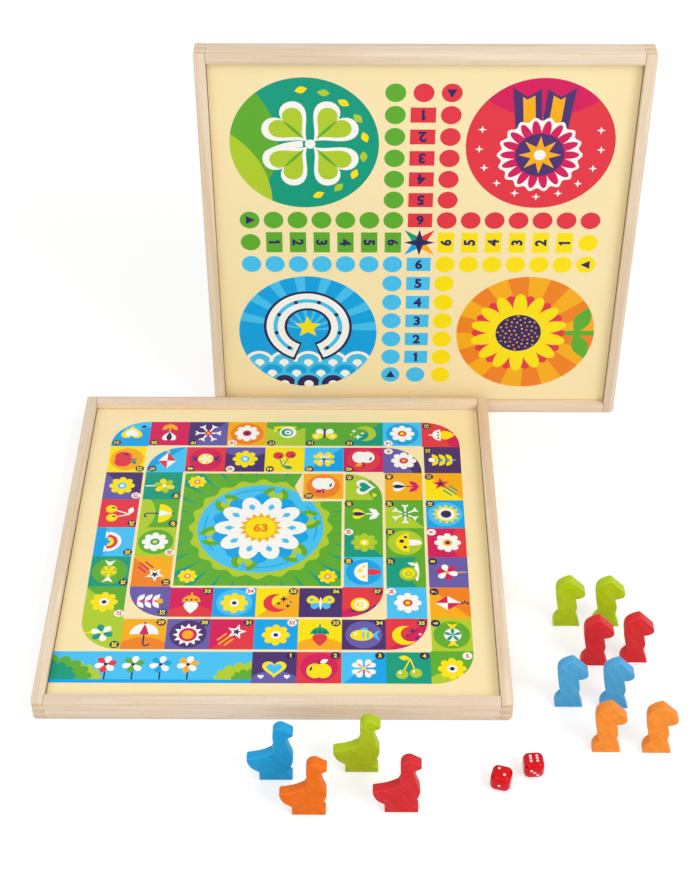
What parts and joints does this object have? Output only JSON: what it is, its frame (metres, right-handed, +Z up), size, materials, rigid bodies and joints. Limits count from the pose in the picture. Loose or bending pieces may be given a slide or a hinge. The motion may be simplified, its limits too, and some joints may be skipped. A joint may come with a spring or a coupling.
{
  "type": "goose and ludo game board set",
  "caption": "Reversible goose and ludo boards, printed panels in finger-jointed wooden frames, one lying and one standing, with wooden goose and horse pawns and dice.",
  "frame": {"origin": "centre of the set's footprint, on the surface that the boards, pawns and dice stand on", "axes": "+Z up, out of the lying board's goose game; +X to the right as a player at the goose pawns sees it; -Y towards that player, the way the standing board's ludo game faces"},
  "size_m": [0.4761, 0.4654, 0.36],
  "materials": {
    "beech": "pale beech, sanded and clear satin varnished",
    "hardboard": "brown hardboard, smooth",
    "goose_print": "glossy printed sheet, cream ground with a coloured spiral track",
    "ludo_print": "glossy printed sheet, cream ground with a coloured cross of circles",
    "blue_paint": "wood painted blue, satin",
    "orange_paint": "wood painted orange, satin",
    "green_paint": "wood painted lime green, satin",
    "red_paint": "wood painted red, satin",
    "dice_plastic": "glossy red, white pips"
  },
  "bodies": {
    "goose_board": {"goose_board_left_rail": "beech", "goose_board_right_rail": "beech", "goose_board_front_rail": "beech", "goose_board_back_rail": "beech", "goose_board_panel": "hardboard", "goose_board_goose_print": "goose_print", "goose_board_reverse_ludo_print": "ludo_print"},
    "ludo_board": {"ludo_board_left_rail": "beech", "ludo_board_right_rail": "beech", "ludo_board_bottom_rail": "beech", "ludo_board_top_rail": "beech", "ludo_board_panel": "hardboard", "ludo_board_ludo_print": "ludo_print", "ludo_board_reverse_goose_print": "goose_print"},
    "goose_blue": {"goose_pawn_blue": "blue_paint"},
    "goose_orange": {"goose_pawn_orange": "orange_paint"},
    "goose_green": {"goose_pawn_green": "green_paint"},
    "goose_red": {"goose_pawn_red": "red_paint"},
    "horse_green_1": {"horse_pawn_green_1": "green_paint"},
    "horse_green_2": {"horse_pawn_green_2": "green_paint"},
    "horse_red_1": {"horse_pawn_red_1": "red_paint"},
    "horse_red_2": {"horse_pawn_red_2": "red_paint"},
    "horse_blue_1": {"horse_pawn_blue_1": "blue_paint"},
    "horse_blue_2": {"horse_pawn_blue_2": "blue_paint"},
    "horse_orange_1": {"horse_pawn_orange_1": "orange_paint"},
    "horse_orange_2": {"horse_pawn_orange_2": "orange_paint"},
    "first_die": {"die_1": "dice_plastic"},
    "second_die": {"die_2": "dice_plastic"}
  },
  "joints": [
    {"name": "ludo_board_lift", "type": "slide", "parent": "goose_board", "child": "ludo_board", "axis": [0, 0, 1], "range_m": [0, 0.12]},
    {"name": "goose_blue_lift", "type": "slide", "parent": "goose_board", "child": "goose_blue", "axis": [0, 0, 1], "range_m": [0, 0.08]},
    {"name": "goose_orange_lift", "type": "slide", "parent": "goose_board", "child": "goose_orange", "axis": [0, 0, 1], "range_m": [0, 0.08]},
    {"name": "goose_green_lift", "type": "slide", "parent": "goose_board", "child": "goose_green", "axis": [0, 0, 1], "range_m": [0, 0.08]},
    {"name": "goose_red_lift", "type": "slide", "parent": "goose_board", "child": "goose_red", "axis": [0, 0, 1], "range_m": [0, 0.08]},
    {"name": "horse_green_1_lift", "type": "slide", "parent": "goose_board", "child": "horse_green_1", "axis": [0, 0, 1], "range_m": [0, 0.08]},
    {"name": "horse_green_2_lift", "type": "slide", "parent": "goose_board", "child": "horse_green_2", "axis": [0, 0, 1], "range_m": [0, 0.08]},
    {"name": "horse_red_1_lift", "type": "slide", "parent": "goose_board", "child": "horse_red_1", "axis": [0, 0, 1], "range_m": [0, 0.08]},
    {"name": "horse_red_2_lift", "type": "slide", "parent": "goose_board", "child": "horse_red_2", "axis": [0, 0, 1], "range_m": [0, 0.08]},
    {"name": "horse_blue_1_lift", "type": "slide", "parent": "goose_board", "child": "horse_blue_1", "axis": [0, 0, 1], "range_m": [0, 0.08]},
    {"name": "horse_blue_2_lift", "type": "slide", "parent": "goose_board", "child": "horse_blue_2", "axis": [0, 0, 1], "range_m": [0, 0.08]},
    {"name": "horse_orange_1_lift", "type": "slide", "parent": "goose_board", "child": "horse_orange_1", "axis": [0, 0, 1], "range_m": [0, 0.08]},
    {"name": "horse_orange_2_lift", "type": "slide", "parent": "goose_board", "child": "horse_orange_2", "axis": [0, 0, 1], "range_m": [0, 0.08]},
    {"name": "die_1_lift", "type": "slide", "parent": "goose_board", "child": "first_die", "axis": [0, 0, 1], "range_m": [0, 0.08]},
    {"name": "die_2_lift", "type": "slide", "parent": "goose_board", "child": "second_die", "axis": [0, 0, 1], "range_m": [0, 0.08]}
  ]
}
